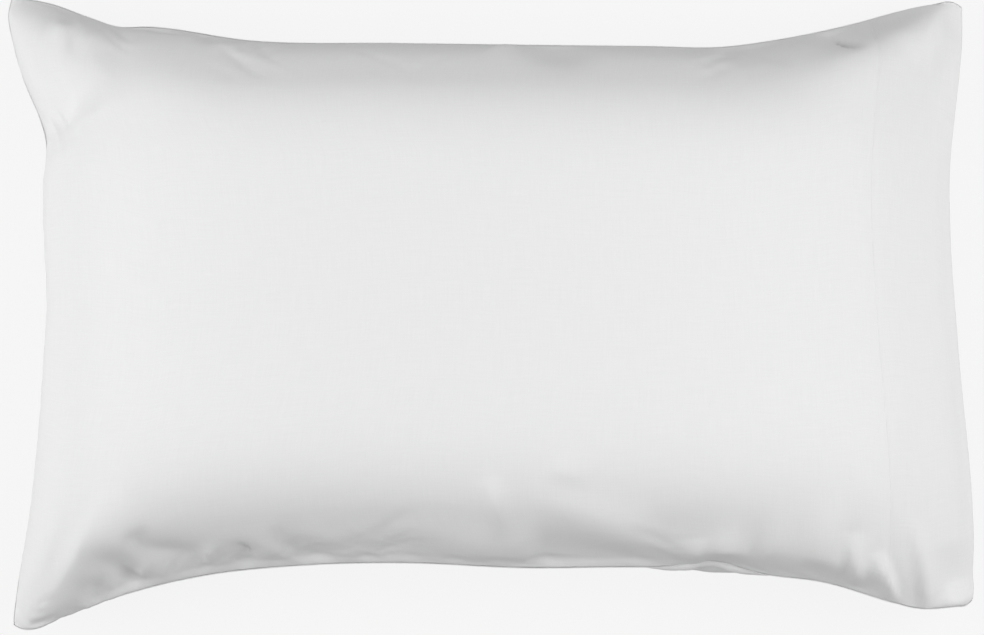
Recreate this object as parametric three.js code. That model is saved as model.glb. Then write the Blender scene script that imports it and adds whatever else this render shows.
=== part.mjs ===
// A plain white cotton pillowcase, filled and lying on its back.
// A front and a back panel are sewn together along the closed end and the two long sides.
// The fourth side is the mouth: each panel ends there in a deep hem, and the hems stand apart.
// The case and what fills it are one solid, hollow only between the two hems.
//
// Millimetres. +Z is up, +X points out of the mouth and +Y to the upper long side.

import * as THREE from "three";

// Fullness of the filled middle.
const WAIST = 80; // the level that the two panels part from
const CROWN = 96; // the front panel at its highest, above the waist
const BELLY = 128; // the back panel's hang below the waist, before the floor flattens it
const SETTLE = 14; // height over which the back panel turns into the flat patch it rests on

// Where the filling ends, as shares of the case's length or width.
const END_ROUND = 0.46; // share of the length over which the closed end rises
const END_FLATNESS = 4.6; // higher is a flatter top with a steeper closed end
const MOUTH_ROUND = 0.27; // share of the length over which the mouth end falls
const MOUTH_FALL = 2.3; // higher is a steeper fall to the mouth
const MOUTH_FULLNESS = 0.35; // share of the full height that is left at the mouth
const LENS_REACH = 0.14; // share of the length over which the section turns into the mouth's
const FILLED_FALL = 3.4; // power at which the filled section falls from its middle to its seams
const OPEN_FALL = 2; // the same at the mouth, which makes a pointed lens
const SEAM_HOLD = 0.25; // fullness at which folds have their full height
const LENGTHWISE_CROWN = 0.05; // share of the height lost from the middle towards either end

// The hems.
const HEM_DEPTH = 58; // from the mouth's edge to the hem's stitch line
const HEM_WALL = 3; // one hem's folded cloth
const STITCH_WIDTH = 7; // the shallow groove that the stitch line pulls in
const STITCH_DIP = 1.6;
const END_BULGE = 12; // how far the filling rounds out into the mouth
const END_ROUNDNESS = 4; // height of the mouth, in bulges, that has the full bulge

// The grid of each panel.
const COLUMNS = 60; // from the closed end to the mouth
const ROWS = 34; // from the lower long side to the upper one
const HEM_COLUMNS = 9; // the last of them, along the hem's depth
const FILLED_COLUMNS = COLUMNS - HEM_COLUMNS;
const EDGE_CROWDING = 0.72; // 0 is even spacing, 1 crowds the cells most at the edges
const SEAM_ROWS = 1; // rows beside each side seam where the two hems lie together

// The sewn outline, corner to corner, with the height at which each stretch lies.
const UPPER_SIDE = [
  { x: -373, y: 246, z: 34 }, // the ear at the closed end
  { x: -341, y: 239, z: 50 },
  { x: -308, y: 225, z: 64 },
  { x: -286, y: 215, z: 76 }, // the ear meets the filled side
  { x: -260, y: 214, z: 82 },
  { x: -183, y: 203, z: 86 },
  { x: -67, y: 200, z: 82 },
  { x: 125, y: 199, z: 79 },
  { x: 180, y: 199, z: 76 },
  { x: 226, y: 206.6, z: 68 },
  { x: 289, y: 224.3, z: 48 },
  { x: 322, y: 235.3, z: 38 },
  { x: 346, y: 239, z: 36 },
  { x: 371, y: 239, z: 42 }, // the corner of the mouth
];
const LOWER_SIDE = [
  { x: -366, y: -246, z: 28 }, // the ear at the closed end
  { x: -344, y: -246, z: 34 },
  { x: -328, y: -238, z: 42 },
  { x: -296, y: -227, z: 52 },
  { x: -256, y: -215.4, z: 58 },
  { x: -218, y: -207.3, z: 63 },
  { x: -142, y: -199.4, z: 70 },
  { x: -66, y: -197.6, z: 76 },
  { x: 25, y: -202, z: 80 },
  { x: 131, y: -202.4, z: 82 },
  { x: 191, y: -206.8, z: 82 },
  { x: 253, y: -213.5, z: 78 },
  { x: 308, y: -228.9, z: 66 },
  { x: 326, y: -232.5, z: 58 },
  { x: 359, y: -230.8, z: 46 },
  { x: 373, y: -227, z: 36 }, // the corner of the mouth
];
const CLOSED_END = [
  { x: -366, y: -246, z: 28 },
  { x: -363, y: -227, z: 32 },
  { x: -348, y: -149, z: 56 },
  { x: -337, y: -74, z: 84 },
  { x: -334, y: 2, z: 94 },
  { x: -338, y: 87, z: 88 },
  { x: -339, y: 127, z: 76 }, // the ear meets the filled end
  { x: -346, y: 144, z: 64 },
  { x: -361, y: 177, z: 52 },
  { x: -372, y: 211, z: 42 },
  { x: -375, y: 231, z: 38 },
  { x: -373, y: 246, z: 34 },
];
const MOUTH = [
  { x: 373, y: -227, z: 36 },
  { x: 372, y: -206, z: 38 },
  { x: 368, y: -156, z: 40 },
  { x: 357, y: -40, z: 42 },
  { x: 353, y: 69, z: 42 },
  { x: 354, y: 100, z: 42 },
  { x: 360, y: 147, z: 42 },
  { x: 365, y: 179, z: 42 },
  { x: 371, y: 239, z: 42 },
];

const LENGTH = MOUTH.at(-1).x - UPPER_SIDE[0].x;

// The main folds of the front panel. Each runs from (x, y) for "length" towards "heading" in
// degrees from +X. "left" and "right" are its half widths on the two sides of that line.
// A positive height is a ridge and a negative one a trough.
const FOLDS = [
  // the ear of the lower closed corner, and the folds that gather behind it
  { x: -362, y: -244, heading: 43, length: 118, left: 8, right: 15, height: 7 },
  { x: -298, y: -184, heading: -31, length: 54, left: 9, right: 9, height: -8 },
  { x: -260, y: -181, heading: -9, length: 50, left: 9, right: 9, height: -5 },
  { x: -216, y: -207, heading: 56, length: 32, left: 8, right: 8, height: 5 },
  // the ear of the upper closed corner
  { x: -332, y: 236, heading: -30, length: 62, left: 9, right: 10, height: -7 },
  { x: -354, y: 192, heading: -63, length: 72, left: 10, right: 9, height: -7 },
  { x: -336, y: 162, heading: -62, length: 54, left: 9, right: 10, height: 4 },
  // the lower side
  { x: 24, y: -140, heading: -21, length: 90, left: 12, right: 14, height: 4 },
  { x: 44, y: -164, heading: -15, length: 118, left: 10, right: 11, height: -7 },
  { x: 158, y: -184, heading: -86, length: 22, left: 8, right: 8, height: 5 },
  { x: 162, y: -197, heading: 6, length: 40, left: 8, right: 8, height: -5 },
  // the lower corner of the mouth
  { x: 280, y: -132, heading: -59, length: 116, left: 12, right: 10, height: -7 },
  { x: 311, y: -112, heading: -75, length: 124, left: 10, right: 13, height: 5 },
  { x: 266, y: -180, heading: -73, length: 40, left: 8, right: 8, height: -4 },
  // the upper corner of the mouth
  { x: 358, y: 238, heading: 215, length: 112, left: 12, right: 16, height: 6 },
  { x: 252, y: 212, heading: -42, length: 42, left: 8, right: 9, height: -5 },
  { x: 294, y: 204, heading: 38, length: 42, left: 9, right: 10, height: -5 },
];

const clamp = THREE.MathUtils.clamp;
const lerp = THREE.MathUtils.lerp;

// The height or place on a side at "at", by cubic stretches whose slopes are the mean of the
// slopes on both sides of each point.
function through(points, along, wanted, at) {
  const last = points.length - 1;
  let k = 0;
  while (k < last - 1 && points[k + 1][along] < at) k += 1;
  const slope = (i) =>
    (points[i + 1][wanted] - points[i][wanted]) / (points[i + 1][along] - points[i][along]);
  const width = (i) => points[i + 1][along] - points[i][along];
  const tangent = (i) => {
    if (i === 0) return slope(0);
    if (i === last) return slope(last - 1);
    return (slope(i - 1) * width(i) + slope(i) * width(i - 1)) / (width(i - 1) + width(i));
  };
  const w = width(k);
  const t = clamp((at - points[k][along]) / w, 0, 1);
  return (
    (1 + 2 * t) * (1 - t) ** 2 * points[k][wanted] +
    t * (1 - t) ** 2 * w * tangent(k) +
    t * t * (3 - 2 * t) * points[k + 1][wanted] +
    t * t * (t - 1) * w * tangent(k + 1)
  );
}

// A point of a side at the share s of its way from its first corner to its last one.
function onSide(points, along, s) {
  const at = lerp(points[0][along], points.at(-1)[along], s);
  const place = { x: at, y: at, z: 0 };
  for (const wanted of ["x", "y", "z"]) {
    if (wanted !== along) place[wanted] = through(points, along, wanted, at);
  }
  return new THREE.Vector3(place.x, place.y, place.z);
}

// The sheet spanned by the four sides (a Coons patch): the level that the panels rise and hang from.
function sewnLevel(u, v) {
  const lower = onSide(LOWER_SIDE, "x", u);
  const upper = onSide(UPPER_SIDE, "x", u);
  const closed = onSide(CLOSED_END, "y", v);
  const open = onSide(MOUTH, "y", v);
  const corner = (side, end) => {
    const p = side.at(end);
    return new THREE.Vector3(p.x, p.y, p.z);
  };
  return new THREE.Vector3()
    .addScaledVector(lower, 1 - v)
    .addScaledVector(upper, v)
    .addScaledVector(closed, 1 - u)
    .addScaledVector(open, u)
    .addScaledVector(corner(LOWER_SIDE, 0), -(1 - u) * (1 - v))
    .addScaledVector(corner(LOWER_SIDE, -1), -u * (1 - v))
    .addScaledVector(corner(UPPER_SIDE, 0), -(1 - u) * v)
    .addScaledVector(corner(UPPER_SIDE, -1), -u * v);
}

// How full the case is at (u, v), from 0 on the seam to 1 over the middle. Across the case it
// falls by a power of the distance from the middle line, so that the panels meet at an angle.
function fullness(u, v) {
  const fromEnd = clamp(u / END_ROUND, 0, 1);
  const closedEnd = Math.sqrt(1 - (1 - fromEnd) ** END_FLATNESS);
  const fromMouth = clamp((1 - u) / MOUTH_ROUND, 0, 1);
  const mouthEnd = 1 - (1 - MOUTH_FULLNESS) * (1 - fromMouth) ** MOUTH_FALL;
  const lengthwise = 1 - LENGTHWISE_CROWN * (2 * u - 1) ** 2;
  const filled = clamp((1 - u) / LENS_REACH, 0, 1);
  const across = 1 - Math.abs(2 * v - 1) ** lerp(OPEN_FALL, FILLED_FALL, filled);
  return closedEnd * mouthEnd * lengthwise * across;
}

// What the folds add to the front panel's height at (x, y).
function folding(x, y) {
  let height = 0;
  for (const fold of FOLDS) {
    const turn = THREE.MathUtils.degToRad(fold.heading);
    const forward = (x - fold.x) * Math.cos(turn) + (y - fold.y) * Math.sin(turn);
    const aside = (y - fold.y) * Math.cos(turn) - (x - fold.x) * Math.sin(turn);
    const share = forward / fold.length;
    if (share <= 0 || share >= 1) continue;
    const half = aside > 0 ? fold.left : fold.right;
    height += fold.height * Math.sin(Math.PI * share) * Math.exp(-((aside / half) ** 2));
  }
  return height;
}

// The larger of a height and the floor's, rounded over SETTLE and exactly flat below it.
function settled(z) {
  if (z >= SETTLE) return z;
  if (z <= -SETTLE) return 0;
  return (z + SETTLE) ** 2 / (4 * SETTLE);
}

// The row lines: crowded at both long sides.
function rowShare(j) {
  const t = j / ROWS;
  return lerp(t, (1 - Math.cos(Math.PI * t)) / 2, EDGE_CROWDING);
}

// The column lines: crowded at the closed end up to the hem's stitch line, even along the hem.
function columnShare(i) {
  const stitchLine = 1 - HEM_DEPTH / LENGTH;
  if (i >= FILLED_COLUMNS) return lerp(stitchLine, 1, (i - FILLED_COLUMNS) / HEM_COLUMNS);
  const t = i / FILLED_COLUMNS;
  const crowdedAtStart = 1 - Math.cos((Math.PI / 2) * t);
  return stitchLine * lerp(t, crowdedAtStart, EDGE_CROWDING);
}

// How deep the hem's stitch line pulls the cloth in.
function stitchDip(u) {
  const off = (1 - u) * LENGTH - HEM_DEPTH;
  return STITCH_DIP * Math.exp(-((off / STITCH_WIDTH) ** 2));
}

// The two panels' outer faces at (u, v). Folds and stitches fade out where the seam holds the cloth.
function panels(u, v) {
  const level = sewnLevel(u, v);
  const full = fullness(u, v);
  const free = clamp(full / SEAM_HOLD, 0, 1);
  level.z = lerp(level.z, WAIST, full);
  const rise = CROWN * full + free * (folding(level.x, level.y) - stitchDip(u));
  const hang = BELLY * full - free * stitchDip(u);
  const front = level.clone().setZ(level.z + Math.max(rise, 0));
  const back = level.clone().setZ(settled(level.z - Math.max(hang, 0)));
  return { front, back };
}

function makeCase() {
  const corners = [];
  const faces = [];
  const add = (point) => corners.push(point) - 1;
  const triangle = (a, b, c) => {
    if (a !== b && b !== c && c !== a) faces.push(a, b, c);
  };
  const quad = (a, b, c, d) => {
    triangle(a, b, c);
    triangle(a, c, d);
  };

  // Outer faces. A side seam and the closed end share their points between the two panels.
  const front = [];
  const back = [];
  for (let i = 0; i <= COLUMNS; i += 1) {
    front.push([]);
    back.push([]);
    for (let j = 0; j <= ROWS; j += 1) {
      const place = panels(columnShare(i), rowShare(j));
      const sewn = i === 0 || j === 0 || j === ROWS;
      front[i].push(add(place.front));
      back[i].push(sewn ? front[i][j] : add(place.back));
    }
  }
  for (let i = 0; i < COLUMNS; i += 1) {
    for (let j = 0; j < ROWS; j += 1) {
      quad(front[i][j], front[i + 1][j], front[i + 1][j + 1], front[i][j + 1]);
      quad(back[i][j], back[i][j + 1], back[i + 1][j + 1], back[i + 1][j]);
    }
  }

  // Inner faces of the two hems, one wall in from the outer ones. They meet beside the side seams.
  const firstRow = SEAM_ROWS;
  const lastRow = ROWS - SEAM_ROWS;
  const above = [];
  const below = [];
  for (let i = FILLED_COLUMNS; i <= COLUMNS; i += 1) {
    above[i] = [];
    below[i] = [];
    for (let j = firstRow; j <= lastRow; j += 1) {
      const top = corners[front[i][j]];
      const bottom = corners[back[i][j]];
      if (j === firstRow || j === lastRow) {
        above[i][j] = add(top.clone().lerp(bottom, 0.5));
        below[i][j] = above[i][j];
      } else {
        above[i][j] = add(top.clone().setZ(top.z - HEM_WALL));
        below[i][j] = add(bottom.clone().setZ(bottom.z + HEM_WALL));
      }
    }
  }
  for (let i = FILLED_COLUMNS; i < COLUMNS; i += 1) {
    for (let j = firstRow; j < lastRow; j += 1) {
      quad(above[i][j], above[i][j + 1], above[i + 1][j + 1], above[i + 1][j]);
      quad(below[i][j], below[i + 1][j], below[i + 1][j + 1], below[i][j + 1]);
    }
  }

  // The filling's end, rounded out between the two hems.
  const endTop = above[FILLED_COLUMNS];
  const endBottom = below[FILLED_COLUMNS];
  const bulge = [];
  for (let j = firstRow; j <= lastRow; j += 1) {
    const top = corners[endTop[j]];
    const bottom = corners[endBottom[j]];
    const point = top.clone().lerp(bottom, 0.5);
    point.x += END_BULGE * clamp((top.z - bottom.z) / (END_ROUNDNESS * END_BULGE), 0, 1);
    bulge[j] = endTop[j] === endBottom[j] ? endTop[j] : add(point);
  }
  for (let j = firstRow; j < lastRow; j += 1) {
    quad(endTop[j], bulge[j], bulge[j + 1], endTop[j + 1]);
    quad(bulge[j], endBottom[j], endBottom[j + 1], bulge[j + 1]);
  }

  // The hems' edges, and the closed stretches of the mouth beside the side seams.
  const edgeFront = front[COLUMNS];
  const edgeBack = back[COLUMNS];
  const edgeAbove = above[COLUMNS];
  const edgeBelow = below[COLUMNS];
  for (let j = firstRow; j < lastRow; j += 1) {
    quad(edgeFront[j], edgeAbove[j], edgeAbove[j + 1], edgeFront[j + 1]);
    quad(edgeBelow[j], edgeBack[j], edgeBack[j + 1], edgeBelow[j + 1]);
  }
  const closeStretch = (outer, next, turned) => {
    const ring = [edgeFront[outer], edgeBack[outer], edgeBack[next]];
    if (edgeAbove[next] !== undefined) ring.push(edgeAbove[next]);
    ring.push(edgeFront[next]);
    if (turned) ring.reverse();
    for (let k = 1; k < ring.length - 1; k += 1) triangle(ring[0], ring[k], ring[k + 1]);
  };
  for (let j = 0; j < SEAM_ROWS; j += 1) {
    closeStretch(j, j + 1, false);
    closeStretch(ROWS - j, ROWS - j - 1, true);
  }

  const geometry = new THREE.BufferGeometry().setFromPoints(corners);
  geometry.setIndex(faces);
  geometry.computeVertexNormals();
  return geometry;
}

const cotton = new THREE.MeshStandardMaterial({ color: 0xf2f2f2, roughness: 0.92, metalness: 0 });

const geometry = makeCase();
geometry.computeBoundingBox();
const middle = geometry.boundingBox.getCenter(new THREE.Vector3());
geometry.translate(-middle.x, -middle.y, 0);

const pillowcase = new THREE.Mesh(geometry, cotton);
pillowcase.name = "pillowcase";

const part = new THREE.Group();
part.add(pillowcase);
export default part;
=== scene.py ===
"""A plain white cotton pillowcase, filled and lying on its back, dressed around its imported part.

Sizes are written in millimetres and multiplied by MM, because Blender works in metres.
+Z is up, +X points out of the mouth and +Y to the upper long side.
"""
import math

import bpy
import mathutils
import numpy as np
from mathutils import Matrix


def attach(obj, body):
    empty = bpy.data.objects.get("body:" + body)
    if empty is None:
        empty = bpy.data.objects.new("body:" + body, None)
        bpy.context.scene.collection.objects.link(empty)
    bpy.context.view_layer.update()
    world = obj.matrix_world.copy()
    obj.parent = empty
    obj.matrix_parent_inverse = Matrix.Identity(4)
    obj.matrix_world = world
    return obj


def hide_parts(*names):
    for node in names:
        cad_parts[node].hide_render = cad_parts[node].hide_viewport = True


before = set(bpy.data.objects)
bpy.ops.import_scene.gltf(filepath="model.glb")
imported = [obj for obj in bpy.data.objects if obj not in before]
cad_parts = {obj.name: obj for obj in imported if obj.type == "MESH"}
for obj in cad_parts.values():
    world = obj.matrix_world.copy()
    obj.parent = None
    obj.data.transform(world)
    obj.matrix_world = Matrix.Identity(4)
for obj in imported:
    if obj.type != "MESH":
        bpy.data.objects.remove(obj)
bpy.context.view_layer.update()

MM = 0.001

# ---------------------------------------------------------------- sizes of the case

# Fullness of the filled middle, in millimetres.
WAIST = 80  # the level that the two panels part from
CROWN = 96  # the front panel at its highest, above the waist
BELLY = 128  # the back panel's hang below the waist, before the surface under it flattens it
SETTLE = 14  # height over which the back panel turns into the flat patch it rests on

# Where the filling ends, as shares of the case's length.
END_ROUND = 0.46  # share over which the closed end rises
END_FLATNESS = 4.6  # higher is a flatter top with a steeper closed end
MOUTH_ROUND = 0.27  # share over which the mouth end falls
MOUTH_FALL = 2.3  # higher is a steeper fall to the mouth
MOUTH_FULLNESS = 0.35  # share of the full height that is left at the mouth
LENS_REACH = 0.14  # share over which the section turns into the mouth's
FILLED_FALL = 4.6  # power at which the filled section falls from its middle to its seams
OPEN_FALL = 2  # the same at the mouth, which makes a pointed lens
LENGTHWISE_CROWN = 0.05  # share of the height lost from the middle towards either end

# The cloth as it was cut, and its sewing.
FLAT_LENGTH = 750
FLAT_WIDTH = 500
HEM_DEPTH = 72  # from the mouth's edge to the hem's stitch line
HEM_START = FLAT_LENGTH - HEM_DEPTH  # where the hem begins on the flat cloth
HEM_WALL = 1.6  # two layers of cotton and the air between them
GROOVE_HALF = 3.5  # half width of the groove that the hem's stitch line pulls in
GROOVE_DEPTH = 0.7
STITCH_PITCH = 2.8  # from one stitch to the next
STITCH_LENGTH = 2.2
STITCH_HALF = 0.16  # half the thread's thickness
STITCH_PROUD = 0.3  # share of it that the thread's middle stands above the cloth
STITCH_SIDES = 6
SEAM_RIDGE = 0.6  # how far the sewn edge stands out
SEAM_HALF = 0.5  # half its thickness
SHOULDER_OUT = 0.75  # where the sewn edge rounds off, as a share of SEAM_RIDGE
SHOULDER_UP = 0.8  # and of SEAM_HALF
END_BULGE = 12  # how far the filling rounds out into the mouth
FULL_BULGE_GAP = 4 * END_BULGE  # gap between the hems from which it rounds out that far
BULGE_POWER = 0.7  # below 1 the bulge is fuller than a sine

# The grid of each panel.
FILLED_COLUMNS = 232
HEM_COLUMNS = 24
ROWS = 160
CROWDING = 0.72  # 0 is even spacing, 1 crowds the cells most at the sewn edges
END_ROWS = 12  # rows of cells down the filling's end

# The sewn outline, corner to corner, with the height at which each stretch lies: x, y, z.
UPPER_SIDE = MM * np.array([
    (-373, 246, 34),  # the ear at the closed end
    (-341, 237.6, 50),
    (-308, 223.4, 64),
    (-286, 214.2, 76),  # the ear meets the filled side
    (-260, 212.8, 82),
    (-183, 201.4, 86),
    (-67, 200, 82),
    (125, 198.2, 79),
    (180, 198.2, 76),
    (226, 205.8, 68),
    (289, 222.8, 48),
    (322, 233.6, 38),
    (346, 239, 36),
    (366.5, 239.1, 42),
    (370.4, 236.4, 42),  # the corner of the mouth
])
LOWER_SIDE = MM * np.array([
    (-364.8, -244, 28),  # the ear at the closed end
    (-360, -246.5, 28),
    (-344, -246, 34),
    (-328, -238, 42),
    (-296, -227, 52),
    (-256, -215.4, 58),
    (-218, -207.3, 63),
    (-142, -199.4, 70),
    (-66, -197.6, 76),
    (25, -201.4, 80),
    (131, -201.8, 82),
    (191, -206.8, 82),
    (253, -212, 78),
    (308, -227.4, 66),
    (326, -231.4, 58),
    (359, -230, 46),
    (369, -228.4, 36),
    (372.2, -225.2, 36),  # the corner of the mouth
])
CLOSED_END = MM * np.array([
    (-364.8, -244, 28),
    (-364.6, -238, 29),
    (-363, -227, 32),
    (-348, -149, 56),
    (-336.3, -74, 84),
    (-333, 2, 94),
    (-337, 87, 88),
    (-339, 127, 76),  # the ear meets the filled end
    (-345.2, 144, 64),
    (-360, 177, 52),
    (-371, 211, 42),
    (-375, 231, 38),
    (-373, 246, 34),
])
MOUTH = MM * np.array([
    (372.2, -225.2, 36),
    (373.4, -219, 36),
    (373, -206, 38),
    (369.8, -156, 40),
    (358, -40, 42),
    (353, 69, 42),
    (354, 100, 42),
    (360, 147, 42),
    (365, 179, 42),
    (370.4, 228, 42),
    (370.4, 236.4, 42),
])
X, Y, Z = 0, 1, 2
LENGTH = MOUTH[-1, X] - UPPER_SIDE[0, X]

# The folds of each panel, in millimetres. Each runs from (x, y) to (to_x, to_y), bows to its left
# by "bend" at its middle and is highest at the share "peak" of its length. "left" and "right" are
# its half widths at the start, and "taper" times that at the end. "crisp" runs from 0, a soft
# round fold, to 1, a sharp crease. A negative height is a trough.
#   x     y   to_x  to_y bend peak left right taper crisp height
FRONT_FOLDS = (
    # the ear of the lower closed corner, and the folds that gather behind it
    (-365, -257, -273, -142, -6, 0.56, 6, 20, 2, 0, 6.2),
    (-355, -248, -322, -242, 2, 0.5, 4, 3, 0.8, 0.3, -4.8),
    (-306, -189, -246, -216, -3, 0.51, 13, 11, 1.1, 0.1, -8.1),
    (-271, -187, -193, -197, -3, 0.51, 9, 11, 1.2, 0.5, -8.1),
    (-273, -185, -246, -176, -2, 0.43, 6, 11, 1.3, 0, -3),
    (-310, -226, -284, -208, -1, 0.5, 11, 9, 1, 0.4, -5.9),
    (-285, -226, -259, -213, 7, 0.64, 6, 4, 0.9, 0.1, -3.9),
    (-211, -203, -203, -186, 1, 0.4, 6, 3, 1, 0.7, 3.2),
    (-192, -184, -172, -198, 1, 0.6, 3, 5, 1, 0.8, -3.5),
    (-263, -213, -254, -199, 0, 0.3, 3, 3, 1, 0.5, 2.2),
    (-208, -190, -164, -202, -1, 0.59, 9, 11, 1.6, 0.4, -5.4),
    (-143, -188, -126, -196, -2, 0.45, 5, 5, 1, 0.5, 2),
    (-166, -182, -106, -198, -4, 0.47, 11, 6, 1, 0, -7.4),
    (-176, -195, -142, -204, 0, 0.51, 6, 6, 1, 0.3, -3.1),
    (-137, -194, -6, -192, 3, 0.46, 12, 8, 1, 0, -5.6),
    # the ear of the upper closed corner
    (-318, 202, -280, 211, -7, 0.31, 12, 13, 1.5, 0.4, 3.2),
    (-338, 217, -310, 208, -4, 0.46, 9, 11, 0.9, 0.1, 3.9),
    (-317, 230, -309, 207, -2, 0.55, 3, 3, 1, 0.6, 1),
    (-354, 210, -315, 126, 5, 0.75, 18, 10, 1.8, 0, -8.1),
    (-335, 154, -315, 109, 2, 0.52, 11, 10, 1.4, 0, -5.2),
    # the upper side
    (-224, 207, -203, 194, 0, 0.46, 4, 6, 1, 0.4, -2),
    (-5, 187, 24, 197, 1, 0.6, 4, 6, 1, 0.7, 2.6),
    (20, 190, 86, 186, 1, 0.52, 9, 12, 1.1, 0, -4.2),
    (172, 194, 209, 179, 0, 0.47, 9, 10, 1, 0.3, -2.5),
    (188, 202, 232, 178, -1, 0.53, 14, 6, 1.5, 0.2, -2.6),
    # the lower side
    (26, -148, 130, -176, -4, 0.72, 11, 13, 1.2, 0, 4),
    (26, -190, 157, -204, 2, 0.15, 17, 15, 0.3, 0, -5.2),
    (2, -136, 11, -183, 1, 0.41, 7, 7, 1.2, 0.2, 3.8),
    (41, -128, 79, -139, -1, 0.45, 10, 7, 1.1, 0.2, 1.8),
    (160, -203, 159, -180, 3, 0.55, 12, 6, 1.5, 0.6, 4.2),
    (160, -190, 198, -194, 4, 0.45, 12, 4, 1, 0.4, 5),
    (198, -193, 236, -198, 8, 0.42, 16, 8, 1.5, 0.2, 4.1),
    (222, -197, 270, -200, 9, 0.62, 18, 8, 1.6, 0, 7),
    # the pleats at the lower corner of the mouth
    (279, -216, 272, -176, 2, 0.45, 5, 10, 1, 0.8, 8.5),
    (314, -229, 290, -188, 1, 0.62, 10, 4, 0.8, 0.5, 7.5),
    (335, -240, 312, -161, -4, 0.29, 5, 12, 0.9, 0.3, 5.6),
    (360, -226, 346, -182, -3, 0.33, 17, 16, 1.3, 0, -4.6),
    (374, -218, 345, -228, 2, 0.54, 6, 8, 1, 0.1, 3.8),
    # the fan of folds at the upper corner of the mouth
    (357, 241, 317, 188, 3, 0.46, 8, 13, 1.7, 0, 8.1),
    (340, 215, 222, 162, 7, 0.28, 20, 15, 1.4, 0, 8),
    (258, 220, 279, 184, 4, 0.36, 11, 18, 1.2, 0.7, -2.5),
    (259, 213, 286, 187, 2, 0.55, 3, 5, 1, 0.8, -6),
    (351, 231, 378, 212, -4, 0.3, 12, 10, 1.5, 0.1, -1.4),
    # the closed end
    (-329, -23, -338, 126, 2, 0.53, 9, 10, 1.1, 0, 2),
    (-344, -161, -331, 3, 0, 0.64, 12, 10, 1.1, 0, 2),
)
BACK_FOLDS = (
    (112, -199, 222, -205, 0, 0.5, 9, 8, 1, 0.1, 8),  # bulges out below the lower side
)
CRISP_POWER = 1.2  # power of the fall aside of a crisp fold
SOFT_POWER = 2  # and of a soft one
LENGTHWISE_POWER = 0.7  # below 1 a fold keeps its height over more of its length

TUCK_X = 172  # where the lower seam is drawn in above the back panel's bulge
TUCK_REACH = 29  # half the length of that stretch
TUCK = 8.5  # how far it is drawn in
FRONT_TUCK_SHARE = 0.036  # share of the front's width over which that fades out
BACK_TUCK_SHARE = 0.018  # and of the back's

GATHER_LENGTHS = (9, 13, 17, 24, 34)  # wavelengths of the small gathers along the seams
GATHER_HEIGHT = 0.022  # their height as a share of their wavelength
GATHER_FADE = 11  # distance from the seam over which they fade
GATHER_ALONG = (1, 1.3)  # how fast they run along x and y
GATHER_SWELL = 3.7  # wavelengths that they take to swell by one radian
GATHER_LEAN = 20  # distance from the seam over which their phase shifts by their slant
GATHER_UPPER = 0.3  # their height along the upper side, as a share of the lower side's
GATHER_END = 310  # x at which they have died out towards the mouth, over GATHER_CALM
GATHER_CALM = 60
SEAM_HOLD = 4  # distance from the seam at which the seam lets gathers rise in full
RIDGE_HOLD = 2  # the same for ridges
TROUGH_HOLD = 12  # and for troughs

# How the cloth finds its folds.
COARSER = 2  # every second point of the panels is enough for it
SLACK = 1.8  # height of the gathers in the cloth as cut, to their height at the start
PRESSURE = 2  # in Blender's units
STEPS = 20  # frames
MOST_MOVE = 6  # the furthest that a point may move
LOOSE_WITHIN = 34  # distance from the seams within which the cloth moves freely
TAUT_FROM = 85  # distance from which the filling keeps it taut
TOUCHING = 1.5  # height below which the cloth stays on the surface it lies on

# ---------------------------------------------------------------- the case's shape


def smooth(t):
    """0 below 0, 1 above 1 and 3t^2 - 2t^3 in between."""
    t = np.clip(t, 0, 1)
    return t * t * (3 - 2 * t)


def mix(a, b, t):
    """The point a share t of the way from a to b."""
    return a + (b - a) * t


def through(points, along, at):
    """Cubic stretches through the points, worked out at places `at` of the coordinate `along`.
    The slope at each inner point is the mean of its neighbours' slopes, each weighted by the
    other's width."""
    known = points[:, along]
    width = np.diff(known)[:, None]
    slope = np.diff(points, axis=0) / width
    inner = (slope[:-1] * width[1:] + slope[1:] * width[:-1]) / (width[:-1] + width[1:])
    tangent = np.vstack([slope[:1], inner, slope[-1:]])
    k = np.clip(np.searchsorted(known, at, side="right") - 1, 0, len(known) - 2)
    w = width[k]
    t = np.clip((at - known[k])[..., None] / w, 0, 1)
    return ((1 + 2 * t) * (1 - t) ** 2 * points[k] + t * (1 - t) ** 2 * w * tangent[k]
            + t * t * (3 - 2 * t) * points[k + 1] + t * t * (t - 1) * w * tangent[k + 1])


def on_side(points, along, share):
    """Points of a side at shares of the way from its first corner to its last one."""
    return through(points, along, mix(points[0, along], points[-1, along], share))


def sewn_level(u, v):
    """The sheet spanned by the four sides, a Coons patch: each pair of facing sides is joined by
    straight lines, the two sheets are added, and the sheet of the four corners is taken off."""
    lower = on_side(LOWER_SIDE, X, u)[:, None]
    upper = on_side(UPPER_SIDE, X, u)[:, None]
    closed = on_side(CLOSED_END, Y, v)[None]
    mouth = on_side(MOUTH, Y, v)[None]
    u = u[:, None, None]
    v = v[None, :, None]
    corners = mix(mix(LOWER_SIDE[0], UPPER_SIDE[0], v), mix(LOWER_SIDE[-1], UPPER_SIDE[-1], v), u)
    return mix(lower, upper, v) + mix(closed, mouth, u) - corners


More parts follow.
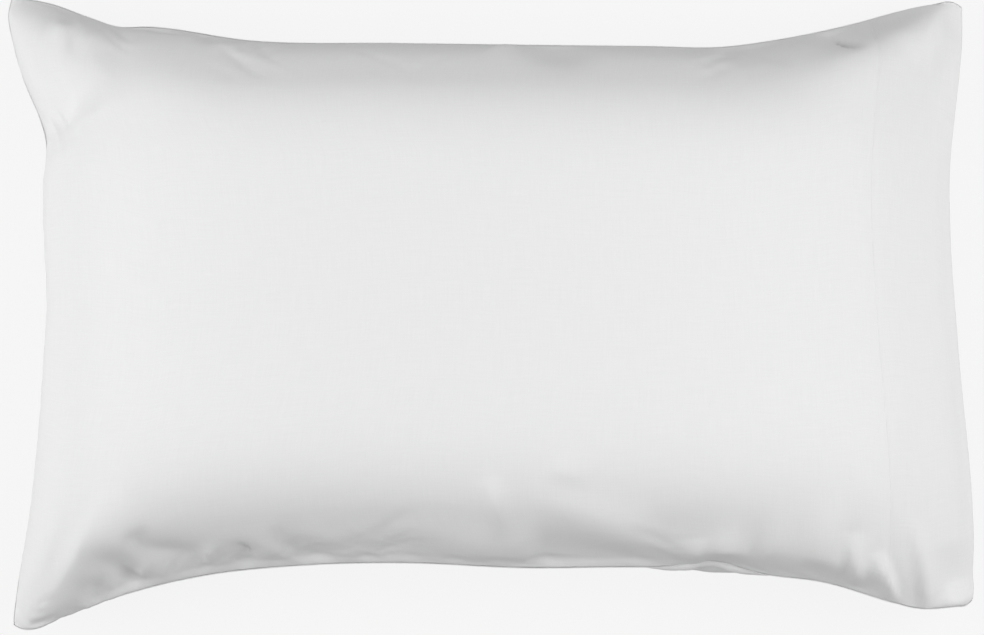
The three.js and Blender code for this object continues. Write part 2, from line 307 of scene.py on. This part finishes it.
def fullness(u, v):
    """0 on the seam and 1 over the middle: the closed end's rise, times the fall to the mouth,
    times a slight lengthwise crown, times the cross section 1 - |2v - 1|^p, where the power p
    goes from FILLED_FALL to OPEN_FALL towards the mouth."""
    from_end = np.clip(u / END_ROUND, 0, 1)
    closed_end = np.sqrt(1 - (1 - from_end) ** END_FLATNESS)
    from_mouth = np.clip((1 - u) / MOUTH_ROUND, 0, 1)
    mouth_end = 1 - (1 - MOUTH_FULLNESS) * (1 - from_mouth) ** MOUTH_FALL
    lengthwise = 1 - LENGTHWISE_CROWN * (2 * u - 1) ** 2
    power = mix(OPEN_FALL, FILLED_FALL, np.clip((1 - u) / LENS_REACH, 0, 1))
    across = 1 - np.abs(2 * v[None] - 1) ** power[:, None]
    return (closed_end * mouth_end * lengthwise)[:, None] * across


def settled(z):
    """The larger of z and 0, rounded over SETTLE by the parabola (z + s)^2 / 4s."""
    s = SETTLE * MM
    return np.where(z >= s, z, np.clip(z + s, 0, None) ** 2 / (4 * s))


def column_shares():
    """Shares of the length: t mixed with 1 - cos(pi t / 2) by CROWDING up to the hem, which
    crowds them at the closed end, and even steps along the hem."""
    stitch_line = 1 - HEM_DEPTH * MM / LENGTH
    t = np.linspace(0, 1, FILLED_COLUMNS + 1)
    filled = stitch_line * mix(t, 1 - np.cos(np.pi / 2 * t), CROWDING)
    return np.append(filled, np.linspace(stitch_line, 1, HEM_COLUMNS + 1)[1:])


def row_shares():
    """Shares of the width: t mixed with (1 - cos(pi t)) / 2 by CROWDING, which crowds them at
    both long sides."""
    t = np.linspace(0, 1, ROWS + 1)
    return mix(t, (1 - np.cos(np.pi * t)) / 2, CROWDING)


def normals(panel, upward):
    """Unit normals of a grid of points, from the cross product of its two tangents."""
    n = np.cross(np.gradient(panel, axis=0), np.gradient(panel, axis=1))
    n /= np.maximum(np.linalg.norm(n, axis=2, keepdims=True), 1e-12)
    return n if upward else -n


def lengths(panel, axis):
    """Running length over a grid of points along one axis."""
    steps = np.linalg.norm(np.diff(panel, axis=axis), axis=2)
    start = np.zeros_like(np.take(steps, [0], axis=axis))
    return np.concatenate([start, np.cumsum(steps, axis=axis)], axis=axis)


def faded(distance, whole, gone):
    """1 up to a distance of `whole`, 0 from `gone` on, smooth between."""
    return smooth((gone - distance) / (gone - whole))


def fold_heights(panel, folds):
    """Sum of the folds' heights over a panel. A fold's line is straight, bowed by the parabola
    4 * bend * s * (1 - s) of the share s along it. Its height is exp(-|a / w|^p), where a is the
    distance aside, w the half width there and p goes from SOFT_POWER to CRISP_POWER, times a
    smooth rise to its peak and a smooth fall to its end."""
    height = np.zeros(panel.shape[:2])
    for x, y, to_x, to_y, bend, peak, left, right, taper, crisp, tall in folds:
        length = math.hypot(to_x - x, to_y - y)
        ahead_x, ahead_y = (to_x - x) / length, (to_y - y) / length
        dx = panel[..., X] / MM - x
        dy = panel[..., Y] / MM - y
        share = np.clip((dx * ahead_x + dy * ahead_y) / length, 0, 1)
        aside = dy * ahead_x - dx * ahead_y - 4 * bend * share * (1 - share)
        width = np.where(aside > 0, left, right) * mix(1, taper, share)
        across = np.exp(-np.abs(aside / width) ** mix(SOFT_POWER, CRISP_POWER, crisp))
        along = smooth(share / peak) * smooth((1 - share) / (1 - peak))
        height += tall * MM * across * along ** LENGTHWISE_POWER
    return height


def seam_distance(panel):
    """Distance over the cloth to the nearest sewn edge: the closed end or a long side."""
    down = lengths(panel, 1)
    along = lengths(panel, 0)
    return np.minimum(along, np.minimum(down, down[:, -1:] - down))


def gathers(panel, from_seam, seed):
    """Small uneven gathers along the seams: a sum of sines of the running length along the seam,
    each with its own wavelength, phase and slow swell, that fades away from the seam."""
    random = np.random.default_rng(seed)
    run = panel[..., X] / MM * GATHER_ALONG[0] + panel[..., Y] / MM * GATHER_ALONG[1]
    height = np.zeros(panel.shape[:2])
    for wavelength in GATHER_LENGTHS:
        phase, slow_phase, slant = random.uniform(0, 2 * math.pi, 3)
        swell = np.clip(np.sin(run / (GATHER_SWELL * wavelength) + slow_phase), 0, 1)
        leaning = slant * from_seam / (GATHER_LEAN * MM)
        wave = np.sin(2 * math.pi * run / wavelength + phase + leaning)
        height += wavelength * GATHER_HEIGHT * swell * wave
    lower = smooth(0.5 - panel[..., Y] / LENGTH)
    before_mouth = smooth((GATHER_END - panel[..., X] / MM) / GATHER_CALM)
    share = mix(GATHER_UPPER, 1, lower) * before_mouth
    return height * MM * share * np.exp(-from_seam / (GATHER_FADE * MM))


def make_panels(slack=1):
    """The outer faces of the front and the back panel as two grids of points, columns by rows.
    Both start from a waist that rises from the sewn edge to WAIST by the fullness f. The front
    lies CROWN * f above it and the back BELLY * f below it, settled on the surface under it. Then
    come the drawn-in stretch, a bell curve along the lower seam, the gathers, times `slack`, and
    the groove at the hem, a bell curve across its stitch line."""
    u = column_shares()
    v = row_shares()
    level = sewn_level(u, v)
    full = fullness(u, v)
    waist = mix(level[..., Z], WAIST * MM, full)
    front = level.copy()
    front[..., Z] = waist + CROWN * MM * full
    back = level.copy()
    back[..., Z] = settled(waist - BELLY * MM * full)
    tuck = TUCK * MM * np.exp(-((level[..., X] / MM - TUCK_X) / TUCK_REACH) ** 2)
    off_stitches = ((1 - u) * LENGTH / MM - HEM_DEPTH) / GROOVE_HALF
    groove = GROOVE_DEPTH * MM * np.exp(-off_stitches ** 2)[:, None]
    for panel, upward, tuck_share, seed in (
        (front, True, FRONT_TUCK_SHARE, 3),
        (back, False, BACK_TUCK_SHARE, 8),
    ):
        panel[..., Y] += tuck * smooth(1 - v / tuck_share)
        from_seam = seam_distance(panel)
        held = smooth(from_seam / (SEAM_HOLD * MM))
        height = slack * gathers(panel, from_seam, seed) - groove
        panel += normals(panel, upward) * (held * height)[..., None]
    back[..., Z] = np.maximum(back[..., Z], 0)
    return front, back


def crease(panel, folds, upward):
    """Presses folds into a panel along its normals, down to nothing on the seams. Troughs fade
    out further from the seam than ridges, so that the sewn edge stays clear of them."""
    from_seam = seam_distance(panel)
    height = np.zeros(panel.shape[:2])
    for sign, hold in ((1, RIDGE_HOLD), (-1, TROUGH_HOLD)):
        alike = [fold for fold in folds if sign * fold[-1] > 0]
        height += smooth(from_seam / (hold * MM)) * fold_heights(panel, alike)
    panel += normals(panel, upward) * height[..., None]
    panel[..., Z] = np.maximum(panel[..., Z], 0)


# ---------------------------------------------------------------- the cloth finding its folds


def between(grid, count, axis):
    """A coarser grid read at `count` even places along one axis, by Catmull-Rom cubics."""
    grid = np.moveaxis(grid, axis, 0)
    at = np.linspace(0, len(grid) - 1, count)
    k = np.clip(at.astype(int), 0, len(grid) - 2)
    t = (at - k)[:, None, None]
    before, near, far = grid[np.maximum(k - 1, 0)], grid[k], grid[k + 1]
    after = grid[np.minimum(k + 2, len(grid) - 1)]
    read = near + 0.5 * t * (far - before + t * (2 * before - 5 * near + 4 * far - after
                                                 + t * (3 * (near - far) + after - before)))
    return np.moveaxis(read, 0, axis)


def bag_numbers(shape):
    """Point numbers of two grids sewn into one bag. The back shares the front's numbers along the
    closed end and the long sides. Also returns a mask of the points that are the back's own."""
    front_ids = np.arange(shape[0] * shape[1]).reshape(shape)
    own = np.zeros(shape, bool)
    own[1:, 1:-1] = True
    back_ids = front_ids.copy()
    back_ids[own] = front_ids.size + np.arange(own.sum())
    return front_ids, back_ids, own


def blow_up(piece, as_cut):
    """Runs Blender's cloth simulation on a mesh as light cotton under a little pressure, without
    gravity, and returns where its points end. Its vertex group "held" stays put, and `as_cut` is
    the shape key that the cloth was cut to."""
    simulation = piece.modifiers.new("Cloth", "CLOTH")
    cotton = simulation.settings
    cotton.quality = 6
    cotton.mass = 0.15
    cotton.tension_stiffness = cotton.compression_stiffness = 40
    cotton.shear_stiffness = 20
    cotton.bending_stiffness = 0.3
    cotton.air_damping = 3
    cotton.use_pressure = True
    cotton.uniform_pressure_force = PRESSURE
    cotton.effector_weights.gravity = 0
    cotton.vertex_group_mass = "held"
    cotton.pin_stiffness = 1
    cotton.rest_shape_key = as_cut
    simulation.collision_settings.use_collision = False
    simulation.point_cache.frame_start = 1
    simulation.point_cache.frame_end = STEPS
    for step in range(1, STEPS + 1):
        bpy.context.scene.frame_set(step)
    blown = piece.evaluated_get(bpy.context.evaluated_depsgraph_get())
    points = np.empty(3 * len(piece.data.vertices))
    blown.to_mesh().vertices.foreach_get("co", points)
    blown.to_mesh_clear()
    return points.reshape(-1, 3)


def find_folds(front, back):
    """Blows the two panels up a little as one bag of cloth that is sewn at its sides and held at
    its mouth. The bag's cloth was cut with SLACK more in each fold than it starts with, so the
    folds bend and tighten as cloth does. Moves are capped at MOST_MOVE and fade out inside
    the seams, where the filling keeps the cloth taut."""
    start_front, start_back = (panel[::COARSER, ::COARSER] for panel in (front, back))
    cut_front, cut_back = (panel[::COARSER, ::COARSER] for panel in make_panels(SLACK))
    front_ids, back_ids, own = bag_numbers(start_front.shape[:2])
    points = np.vstack([start_front.reshape(-1, 3), start_back[own]])
    bag = Cloth()
    bag.add(points, points[:, :2])
    bag.span(front_ids)
    bag.span(back_ids, turned=True)
    piece = bag.make("bag_of_cloth")
    piece.shape_key_add(name="start")
    as_cut = piece.shape_key_add(name="as_cut")
    cut_points = np.vstack([cut_front.reshape(-1, 3), cut_back[own]])
    as_cut.data.foreach_set("co", cut_points.ravel())
    as_cut.value = 0

    still = points[:, Z] < TOUCHING * MM
    still[front_ids[~own]] = True
    still[front_ids[-1]] = still[back_ids[-1]] = True
    piece.vertex_groups.new(name="held").add(np.flatnonzero(still).tolist(), 1, "REPLACE")
    moved = blow_up(piece, as_cut) - points
    bpy.data.meshes.remove(piece.data)
    bpy.context.scene.frame_set(1)

    far = np.linalg.norm(moved, axis=1, keepdims=True) / (MOST_MOVE * MM)
    moved /= np.maximum(far, 1)
    for panel, ids in ((front, front_ids), (back, back_ids)):
        moves = between(between(moved[ids], panel.shape[0], 0), panel.shape[1], 1)
        near_seam = faded(seam_distance(panel) / MM, LOOSE_WITHIN, TAUT_FROM)
        panel += moves * near_seam[..., None]
    back[..., Z] = np.maximum(back[..., Z], 0)


# ---------------------------------------------------------------- the meshes


def place_mesh(name, points, faces, rounded=False):
    """A new mesh object in the scene. `rounded` shades it smooth."""
    mesh = bpy.data.meshes.new(name)
    mesh.from_pydata(points.tolist(), [], faces)
    mesh.polygons.foreach_set("use_smooth", np.full(len(mesh.polygons), rounded))
    made = bpy.data.objects.new(name, mesh)
    bpy.context.scene.collection.objects.link(made)
    return made


class Cloth:
    """Collects grids of points and the faces between them for one mesh."""

    def __init__(self):
        self.points = []
        self.weave = []
        self.count = 0
        self.quads = []
        self.caps = []

    def add(self, points, weave):
        """Takes an array of points and their places on the flat cloth, and returns an array of
        their numbers, in the same shape."""
        self.points.append(points.reshape(-1, 3))
        self.weave.append(weave.reshape(-1, 2))
        added = len(self.points[-1])
        numbers = np.arange(self.count, self.count + added).reshape(points.shape[:-1])
        self.count += added
        return numbers

    def span(self, grid, turned=False):
        """Quads over a grid of point numbers. `turned` faces them the other way."""
        a, b, c, d = grid[:-1, :-1], grid[1:, :-1], grid[1:, 1:], grid[:-1, 1:]
        ring = (a, d, c, b) if turned else (a, b, c, d)
        self.quads.append(np.stack([corner.ravel() for corner in ring], axis=1))

    def faces(self):
        """Every face as a list of point numbers. Quads that end in a point become triangles."""
        quads = np.vstack(self.quads)
        repeats = quads == np.roll(quads, 1, axis=1)
        whole = quads[~repeats.any(axis=1)].tolist()
        pinched = quads[repeats.sum(axis=1) == 1]
        kept = ~repeats[repeats.sum(axis=1) == 1]
        return whole + pinched[kept].reshape(-1, 3).tolist() + self.caps

    def make(self, name):
        """The finished mesh object, with its points' places on the flat cloth as its UV map."""
        made = place_mesh(name, np.vstack(self.points), self.faces(), rounded=True)
        corner = np.empty(len(made.data.loops), np.int32)
        made.data.loops.foreach_get("vertex_index", corner)
        flat_cloth = made.data.uv_layers.new(name="flat_cloth")
        flat_cloth.data.foreach_set("uv", np.vstack(self.weave)[corner].ravel())
        return made


def sewn_edge(grid):
    """The border of a grid from the mouth's lower corner round the closed end to its upper one."""
    return np.concatenate([grid[::-1, 0], grid[0, 1:], grid[1:, -1]])


def seam_rows(edge):
    """Three rows of points round the sewn edge: its upper face, its tip and its lower face, each
    set out from the edge along the edge's own normal in plan."""
    tangent = np.gradient(edge, axis=0)
    out = np.stack([-tangent[:, Y], tangent[:, X], np.zeros(len(edge))], axis=1)
    out /= np.linalg.norm(out, axis=1, keepdims=True)
    up = np.array([0, 0, SEAM_HALF * MM])
    ridge = SEAM_RIDGE * MM * out
    shoulder = edge + SHOULDER_OUT * ridge
    return shoulder + SHOULDER_UP * up, edge + ridge, shoulder - SHOULDER_UP * up


def flat_place(panel):
    """Each point's place on the flat cloth, in metres: its running length along the row and down
    the column, scaled so that the hem, every row and every column have their cut lengths."""
    along = lengths(panel, 0)
    down = lengths(panel, 1)
    to_hem = along[FILLED_COLUMNS]
    before = along / to_hem * HEM_START
    inside = HEM_START + (along - to_hem) / (along[-1] - to_hem) * (FLAT_LENGTH - HEM_START)
    return MM * np.stack([np.where(along < to_hem, before, inside),
                          FLAT_WIDTH * down / down[:, -1:]], axis=2)


def open_seam(front, back):
    """Parts the two panels by the seam's thickness along their sewn edges."""
    half = SEAM_HALF * MM
    for border in (np.s_[:, 0], np.s_[:, -1], np.s_[0, 1:-1]):
        front[border][..., Z] += half
        back[border] = front[border] - (0, 0, 2 * half)


def add_inner_hems(cloth, front, back, weave):
    """The inner faces of the hems, a wall in from the outer ones along their normals. Beside the
    side seams they meet halfway. Returns the points and the numbers of both."""
    wall = HEM_WALL * MM
    hem = np.s_[FILLED_COLUMNS:, 1:-1]
    above = (front - wall * normals(front, True))[hem]
    below = (back - wall * normals(back, False))[hem]
    for side in (0, -1):
        above[:, side] = below[:, side] = (front[hem][:, side] + back[hem][:, side]) / 2
    above_ids = cloth.add(above, weave[hem])
    below_ids = cloth.add(below[:, 1:-1], weave[hem][:, 1:-1])
    below_ids = np.hstack([above_ids[:, :1], below_ids, above_ids[:, -1:]])
    cloth.span(above_ids, turned=True)
    cloth.span(below_ids)
    return above, above_ids, below, below_ids


def add_filling_end(cloth, above, above_ids, below, below_ids):
    """The filling's end between the hems: straight lines from the upper inner face to the lower
    one, pushed out by END_BULGE * sin(pi t)^BULGE_POWER, and by less where the gap between the
    hems is lower than FULL_BULGE_GAP."""
    t = np.linspace(0, 1, END_ROWS + 1)[:, None, None]
    end = mix(above[0], below[0], t)
    gap = above[0, :, Z] - below[0, :, Z]
    reach = END_BULGE * MM * np.clip(gap / (FULL_BULGE_GAP * MM), 0, 1)
    end[..., X] += reach * np.clip(np.sin(np.pi * t[..., 0]), 0, 1) ** BULGE_POWER
    middle = end[1:-1, 1:-1]
    middle_ids = cloth.add(middle, middle[..., [Y, Z]])
    first, last = (np.broadcast_to(above_ids[0, side], (END_ROWS - 1, 1)) for side in (0, -1))
    cloth.span(np.vstack([above_ids[:1], np.hstack([first, middle_ids, last]), below_ids[:1]]))


def add_rim(cloth, outer, outer_ids, inner, inner_ids, weave, turned):
    """The folded edge of one hem: a row of points half a wall out from midway between its faces."""
    middle = (outer[-1, 1:-1] + inner[-1]) / 2
    middle[:, X] += HEM_WALL * MM / 2
    middle_ids = cloth.add(middle, weave[-1, 1:-1])
    rim = np.stack([outer_ids[-1, 1:-1], middle_ids, inner_ids[-1]])
    cloth.span(rim, turned)
    return rim


def close_mouth_corners(cloth, seam, front_rim, back_rim):
    """One face at each end of the mouth, between the end of the seam and the ends of both rims."""
    for side, turned in ((0, False), (-1, True)):
        ring = [*seam[:, side], back_rim[0, side], back_rim[1, side],
                front_rim[2, side], front_rim[1, side], front_rim[0, side]]
        cloth.caps.append([int(n) for n in (ring[::-1] if turned else ring)])


def make_case():
    """The case and what fills it as one closed mesh, hollow between the hems at the mouth.
    Returns it with the outer faces of its two panels."""
    front, back = make_panels()
    find_folds(front, back)
    crease(front, FRONT_FOLDS, True)
    crease(back, BACK_FOLDS, False)
    cloth = Cloth()
    weave = flat_place(front)
    edge = sewn_edge(front)
    open_seam(front, back)
    front_ids = cloth.add(front, weave)
    back_ids = cloth.add(back, weave)
    cloth.span(front_ids)
    cloth.span(back_ids, turned=True)
    rows = [cloth.add(row, sewn_edge(weave)) for row in seam_rows(edge)]
    seam = np.stack([sewn_edge(front_ids), *rows, sewn_edge(back_ids)])
    cloth.span(seam)
    above, above_ids, below, below_ids = add_inner_hems(cloth, front, back, weave)
    add_filling_end(cloth, above, above_ids, below, below_ids)
    front_rim = add_rim(cloth, front, front_ids, above, above_ids, weave, False)
    back_rim = add_rim(cloth, back, back_ids, below, below_ids, weave, True)
    close_mouth_corners(cloth, seam, front_rim, back_rim)
    return cloth.make("white_case"), front, back


def stitch_places(panel, upward):
    """The start, the end and the outward normal of each stitch of one hem, at even steps of the
    running length down the panel's column at the hem's start."""
    line = panel[FILLED_COLUMNS, 1:-1]
    out = normals(panel, upward)[FILLED_COLUMNS, 1:-1]
    run = lengths(panel, 1)[FILLED_COLUMNS, 1:-1]
    middle = np.arange(run[0] + STITCH_PITCH * MM, run[-1] - STITCH_PITCH * MM, STITCH_PITCH * MM)

    def read(values, at):
        return np.stack([np.interp(at, run, values[:, axis]) for axis in (X, Y, Z)], axis=1)

    half = STITCH_LENGTH / 2 * MM
    lift = STITCH_HALF * STITCH_PROUD * MM * read(out, middle)
    return read(line, middle - half) + lift, read(line, middle + half) + lift, read(out, middle)


def make_stitches(panels):
    """Short threads with rounded ends along the hems: a circle of points round each thread near
    either end, half its thickness from the point that closes that end."""
    places = [stitch_places(*panel) for panel in panels]
    starts, ends, out = (np.concatenate(parts) for parts in zip(*places))
    ahead = ends - starts
    ahead /= np.linalg.norm(ahead, axis=1, keepdims=True)
    aside = np.cross(out, ahead)
    aside /= np.linalg.norm(aside, axis=1, keepdims=True)
    out = np.cross(ahead, aside)
    angle = 2 * math.pi * np.arange(STITCH_SIDES) / STITCH_SIDES
    ring = STITCH_HALF * MM * (np.cos(angle)[:, None] * aside[:, None]
                               + np.sin(angle)[:, None] * out[:, None])
    rounded = STITCH_HALF * MM * ahead[:, None]
    points = np.concatenate([starts[:, None], starts[:, None] + rounded + ring,
                             ends[:, None] - rounded + ring, ends[:, None]], axis=1)
    k = np.arange(STITCH_SIDES)
    near, far, last = 1 + k, 1 + STITCH_SIDES + k, 1 + 2 * STITCH_SIDES
    near_next, far_next = np.roll(near, -1), np.roll(far, -1)
    zero = np.zeros(STITCH_SIDES, int)
    fans = np.concatenate([np.stack([zero, near_next, near], 1),
                           np.stack([zero + last, far, far_next], 1)])
    sides = np.stack([near, near_next, far_next, far], 1)
    first = np.arange(len(points))[:, None, None] * points.shape[1]
    faces = (first + fans).reshape(-1, 3).tolist() + (first + sides).reshape(-1, 4).tolist()
    return place_mesh("hem_stitches", points.reshape(-1, 3), faces, rounded=True)


# ---------------------------------------------------------------- finishes


THREAD_PITCH = 0.42  # from one thread of the weave to the next
SLUB_LENGTH = 26  # length and width of the thicker stretches of thread
SLUB_WIDTH = 0.9
SLUB_RANGE = (0.7, 1.3)  # sums of both ways' slubs at which the cloth has its two tones
THIN_TONE = (0.845, 0.845, 0.847, 1)
THICK_TONE = (0.872, 0.872, 0.872, 1)
HEM_PAINTED_SHADE = 0.987  # painted shade over the hem, where no filling behind the cloth sends light back through it, as a share of the filled cloth's tone
HEM_PAINTED_SHADE_BLUR = 0.8  # distance on both sides of the stitch line over which it sets in
UNEVEN_SCALE = 60  # patches of uneven cloth in a metre


def set_inputs(node, values):
    """Sets a shader node's inputs by name, written with _ for each space."""
    for name, value in values.items():
        node.inputs[name.replace("_", " ")].default_value = value


def new_node(tree, kind, operation=None, **values):
    """A new shader node with its inputs set by name."""
    node = tree.nodes.new("ShaderNode" + kind)
    if operation:
        node.operation = operation
    set_inputs(node, values)
    return node


def new_material(name, **values):
    """A new material with its surface shader's inputs set by name."""
    material = bpy.data.materials.new(name)
    material.use_nodes = True
    set_inputs(material.node_tree.nodes["Principled BSDF"], values)
    return material


def crossing_threads(tree, place):
    """Plain weave as a height: the product of one sine along the cloth and one across it."""
    crossing = new_node(tree, "Math", "MULTIPLY")
    for axis, socket in zip(((1, 0, 0), (0, 1, 0)), crossing.inputs):
        turn = new_node(tree, "VectorMath", "DOT_PRODUCT")
        turn.inputs[1].default_value = [math.pi / (THREAD_PITCH * MM) * a for a in axis]
        tree.links.new(place.outputs["UV"], turn.inputs[0])
        wave = new_node(tree, "Math", "SINE")
        tree.links.new(turn.outputs["Value"], wave.inputs[0])
        tree.links.new(wave.outputs[0], socket)
    return crossing.outputs[0]


def thick_threads(tree, place):
    """Slubs: the sum of a noise stretched along the cloth and one stretched across it."""
    slub = new_node(tree, "Math", "ADD")
    long_way, short_way = 1 / (SLUB_LENGTH * MM), 1 / (SLUB_WIDTH * MM)
    for scale, socket in zip(((long_way, short_way, 1), (short_way, long_way, 1)), slub.inputs):
        stretch = new_node(tree, "Mapping", Scale=scale)
        tree.links.new(place.outputs["UV"], stretch.inputs["Vector"])
        noise = new_node(tree, "TexNoise", Scale=1, Detail=2, Roughness=0.5)
        tree.links.new(stretch.outputs["Vector"], noise.inputs["Vector"])
        tree.links.new(noise.outputs["Fac"], socket)
    return slub.outputs[0]


def cotton_tone(tree, place, slub):
    """White that is a little lighter along thicker threads, with a painted shade over the hem,
    where no filling lies behind the cloth to send light back through it."""
    share = new_node(tree, "MapRange", From_Min=SLUB_RANGE[0], From_Max=SLUB_RANGE[1])
    tree.links.new(slub, share.inputs["Value"])
    tone = tree.nodes.new("ShaderNodeMix")
    tone.data_type = "RGBA"
    set_inputs(tone, {"A": THIN_TONE, "B": THICK_TONE})
    tree.links.new(share.outputs["Result"], tone.inputs["Factor"])
    reach = new_node(tree, "SeparateXYZ")
    tree.links.new(place.outputs["UV"], reach.inputs[0])
    # painted shade: the tone is lowered over the hem to stand in for the light that the filling
    # sends back through the cloth elsewhere
    painted_hem_shade = new_node(tree, "MapRange", From_Min=(HEM_START - HEM_PAINTED_SHADE_BLUR) * MM,
                       From_Max=(HEM_START + HEM_PAINTED_SHADE_BLUR) * MM, To_Min=1, To_Max=HEM_PAINTED_SHADE)
    tree.links.new(reach.outputs["X"], painted_hem_shade.inputs["Value"])
    toned = new_node(tree, "VectorMath", "SCALE")
    tree.links.new(tone.outputs["Result"], toned.inputs[0])
    tree.links.new(painted_hem_shade.outputs["Result"], toned.inputs["Scale"])
    return toned.outputs["Vector"]


def white_cotton():
    """Plain-woven bleached cotton: a bump of crossing threads, thicker threads along and across
    the cloth that also tint it a little, and a soft uneven surface between creases."""
    material = new_material("white_cotton", Roughness=0.88, Specular_IOR_Level=0.2,
                            Sheen_Weight=0.12, Sheen_Roughness=0.5)
    tree = material.node_tree
    place = new_node(tree, "UVMap")
    place.uv_map = "flat_cloth"
    crossing = crossing_threads(tree, place)
    slub = thick_threads(tree, place)
    uneven = new_node(tree, "TexNoise", Scale=UNEVEN_SCALE, Detail=3, Roughness=0.5)
    tree.links.new(place.outputs["UV"], uneven.inputs["Vector"])

    shader = tree.nodes["Principled BSDF"]
    tree.links.new(cotton_tone(tree, place, slub), shader.inputs["Base Color"])
    before = None
    for height, distance, strength in (
        (uneven.outputs["Fac"], 0.5 * MM, 0.35),
        (slub, 0.06 * MM, 0.5),
        (crossing, 0.05 * MM, 0.35),
    ):
        bump = new_node(tree, "Bump", Strength=strength, Distance=distance)
        tree.links.new(height, bump.inputs["Height"])
        if before is not None:
            tree.links.new(before.outputs["Normal"], bump.inputs["Normal"])
        before = bump
    tree.links.new(before.outputs["Normal"], shader.inputs["Normal"])
    return material


def white_thread():
    """Smooth bleached sewing thread."""
    return new_material("white_thread", Base_Color=(0.86, 0.86, 0.86, 1), Roughness=0.6,
                        Specular_IOR_Level=0.25)


# ---------------------------------------------------------------- the set

FLOOR_HALF = 6  # metres
FLOOR_GLOW = 0.862

# Soft rectangular lights, in metres and watts.
LIGHTS = (
    # name         place             aim           size        watts
    ("left_side", (-1.5, 0, 1.5), (0, 0, 0.12), (1.6, 0.8), 12.7),
    ("left_low", (-1.7, 0, 0.75), (0, 0, 0.12), (1.6, 0.6), 9.8),
    ("right_side", (1.5, 0, 1.5), (0, 0, 0.12), (1.6, 0.8), 24.2),
    ("overhead", (0, -1.6, 2.8), (0, 0, 0.1), (1.2, 0.8), 1.4),
)
SKY = 0.313  # strength of the even light from all around

FRAME_WIDTH = 984  # pixels
MM_PER_PIXEL = 0.762  # at the height of the long seams
CAMERA_DISTANCE = 2.4  # metres
CAMERA_ELEVATION = 84  # degrees above the horizon
CAMERA_AIM = (3.5 * MM, -11.4 * MM, 80 * MM)


def make_floor():
    """A pale floor that is mostly lit by itself, so that the shadow on it stays faint, and that
    casts no light back up."""
    corners = FLOOR_HALF * np.array([(-1, -1, 0), (1, -1, 0), (1, 1, 0), (-1, 1, 0)])
    floor = place_mesh("floor", corners, [(0, 1, 2, 3)])
    floor.data.materials.append(new_material(
        "pale_floor", Base_Color=(0.07, 0.07, 0.07, 1), Roughness=1, Specular_IOR_Level=0,
        Emission_Color=(1, 1, 1, 1), Emission_Strength=FLOOR_GLOW))
    floor.visible_diffuse = False


def make_light(name, place, aim, size, watts):
    """A soft rectangular light at `place`, turned towards `aim`."""
    data = bpy.data.lights.new(name, "AREA")
    data.shape = "RECTANGLE"
    data.size, data.size_y = size
    data.energy = watts
    light = bpy.data.objects.new(name, data)
    light.location = place
    away = np.array(aim) - np.array(place)
    light.rotation_euler = mathutils.Vector(away).to_track_quat("-Z", "Y").to_euler()
    bpy.context.scene.collection.objects.link(light)


def make_camera():
    """Above the front panel, leaning a little to the lower side, with a long lens."""
    data = bpy.data.cameras.new("camera")
    data.lens = data.sensor_width * CAMERA_DISTANCE / (FRAME_WIDTH * MM_PER_PIXEL * MM)
    camera = bpy.data.objects.new("camera", data)
    tilt = math.radians(90 - CAMERA_ELEVATION)
    back = np.array([0, -math.sin(tilt), math.cos(tilt)])
    camera.location = np.array(CAMERA_AIM) + CAMERA_DISTANCE * back
    camera.rotation_euler = (tilt, 0, 0)
    bpy.context.scene.collection.objects.link(camera)
    bpy.context.scene.camera = camera


def make_sky():
    """The same white light from all around."""
    world = bpy.data.worlds.new("studio")
    world.use_nodes = True
    set_inputs(world.node_tree.nodes["Background"], {"Color": (1, 1, 1, 1), "Strength": SKY})
    bpy.context.scene.world = world


# ---------------------------------------------------------------- putting it together

case, front_panel, back_panel = make_case()
case.data.materials.append(white_cotton())
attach(case, "root")
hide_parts("pillowcase")

stitches = make_stitches(((front_panel, True), (back_panel, False)))
stitches.data.materials.append(white_thread())
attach(stitches, "root")

make_floor()
for light in LIGHTS:
    make_light(*light)
make_camera()
make_sky()
bpy.context.scene.view_settings.view_transform = "Standard"
